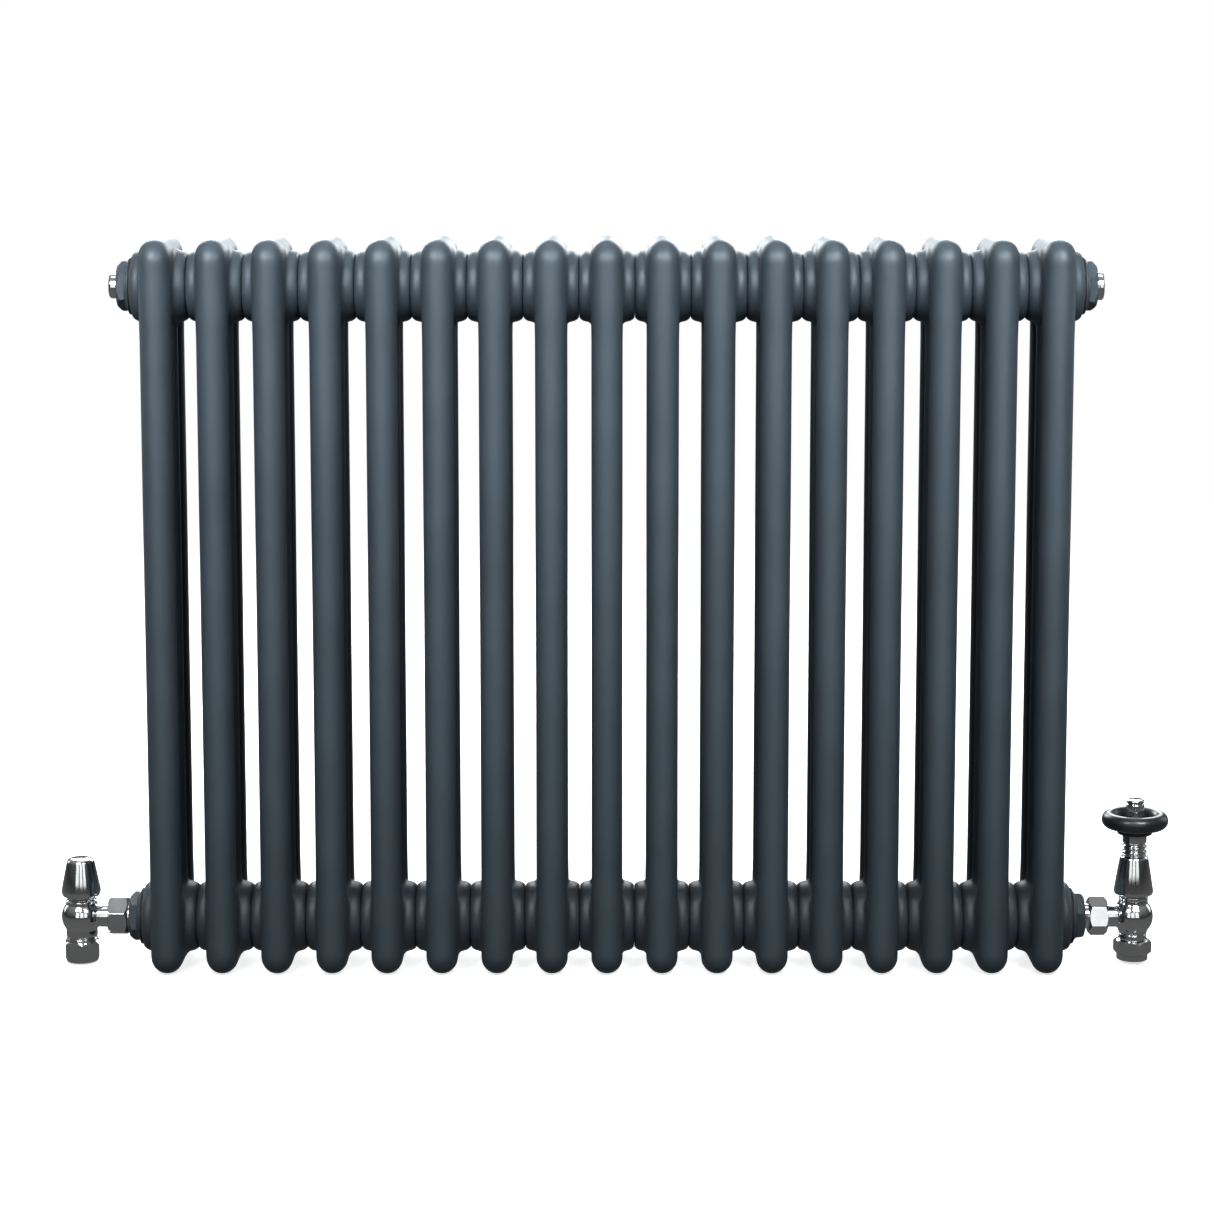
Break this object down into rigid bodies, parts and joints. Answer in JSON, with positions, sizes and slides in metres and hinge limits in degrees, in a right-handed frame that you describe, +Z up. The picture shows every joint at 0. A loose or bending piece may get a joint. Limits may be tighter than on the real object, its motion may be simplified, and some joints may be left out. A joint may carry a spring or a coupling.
{
  "type": "column radiator with valves",
  "caption": "Steel column radiator with hex bushes, blanking plug, air vent, a capped lockshield valve and a wheel-head thermostatic valve",
  "frame": {"origin": "middle of the underside of the centre section, on the surface that the heads rest on", "axes": "+X along the radiator towards the thermostatic valve, +Y through its depth away from the room, +Z up"},
  "size_m": [0.9152, 0.1006, 0.6],
  "materials": {
    "paint": "satin anthracite powder coat",
    "chrome": "polished chrome plate",
    "brass": "machined",
    "steel": "machined",
    "black": "satin black moulding",
    "rubber": "matt"
  },
  "bodies": {
    "radiator": {"section_01": "paint", "section_02": "paint", "section_03": "paint", "section_04": "paint", "section_05": "paint", "section_06": "paint", "section_07": "paint", "section_08": "paint", "section_09": "paint", "section_10": "paint", "section_11": "paint", "section_12": "paint", "section_13": "paint", "section_14": "paint", "section_15": "paint", "section_16": "paint", "section_17": "paint", "bush_top_left": "paint", "gasket_top_left": "rubber", "bush_top_right": "paint", "gasket_top_right": "rubber", "bush_bottom_left": "paint", "gasket_bottom_left": "rubber", "bush_bottom_right": "paint", "gasket_bottom_right": "rubber", "blanking_plug": "chrome", "air_vent_body": "chrome", "lockshield_body": "chrome", "lockshield_tail": "chrome", "lockshield_union_nut": "chrome", "lockshield_inlet_nut": "chrome", "lockshield_bonnet": "chrome", "thermostat_body": "chrome", "thermostat_tail": "chrome", "thermostat_union_nut": "chrome", "thermostat_inlet_nut": "chrome", "thermostat_insert": "chrome", "thermostat_barrel": "chrome", "thermostat_neck": "chrome", "lockshield_olive": "brass", "thermostat_olive": "brass"},
    "thermostat_head": {"thermostat_hub": "black", "thermostat_wheel": "black", "thermostat_plate": "chrome", "thermostat_knob": "chrome"},
    "thermostat_stem": {"thermostat_sensor": "steel", "thermostat_pin": "steel", "thermostat_disc": "rubber", "thermostat_spring": "steel"},
    "lockshield_cover": {"lockshield_cap": "chrome"},
    "lockshield_stopper": {"lockshield_plug": "brass"},
    "lockshield_spindle": {"lockshield_spindle": "brass"},
    "vent_needle": {"air_vent_needle": "brass"},
    "vent_screw": {"air_vent_screw": "brass"}
  },
  "joints": [
    {"name": "head_turn", "type": "hinge", "parent": "radiator", "child": "thermostat_head", "pos_m": [0.4361, 0, 0.12], "axis": [0, 0, 1], "range_deg": [-300, 0]},
    {"name": "stem_travel", "type": "slide", "parent": "radiator", "child": "thermostat_stem", "axis": [0, 0, 1], "range_m": [-0.0024, 0], "deforming": ["thermostat_spring"]},
    {"name": "cap_lift", "type": "slide", "parent": "radiator", "child": "lockshield_cover", "axis": [0, 0, 1], "range_m": [0, 0.04]},
    {"name": "stopper_travel", "type": "slide", "parent": "radiator", "child": "lockshield_stopper", "axis": [0, 0, 1], "range_m": [-0.00125, 0.00125]},
    {"name": "spindle_turn", "type": "hinge", "parent": "lockshield_stopper", "child": "lockshield_spindle", "pos_m": [-0.4356, 0, 0.06], "axis": [0, 0, 1], "range_deg": [-360, 360]},
    {"name": "needle_travel", "type": "slide", "parent": "radiator", "child": "vent_needle", "axis": [1, 0, 0], "range_m": [0, 0.0008]},
    {"name": "bleed_screw_turn", "type": "hinge", "parent": "vent_needle", "child": "vent_screw", "pos_m": [0.395, 0, 0.561], "axis": [1, 0, 0], "range_deg": [0, 360]}
  ],
  "couplings": [
    {"joint": "stem_travel", "follows": "head_turn", "m_per_rad": 0.00045791},
    {"joint": "stopper_travel", "follows": "spindle_turn", "m_per_rad": 0.00019874},
    {"joint": "needle_travel", "follows": "bleed_screw_turn", "m_per_rad": 0.0001272}
  ]
}
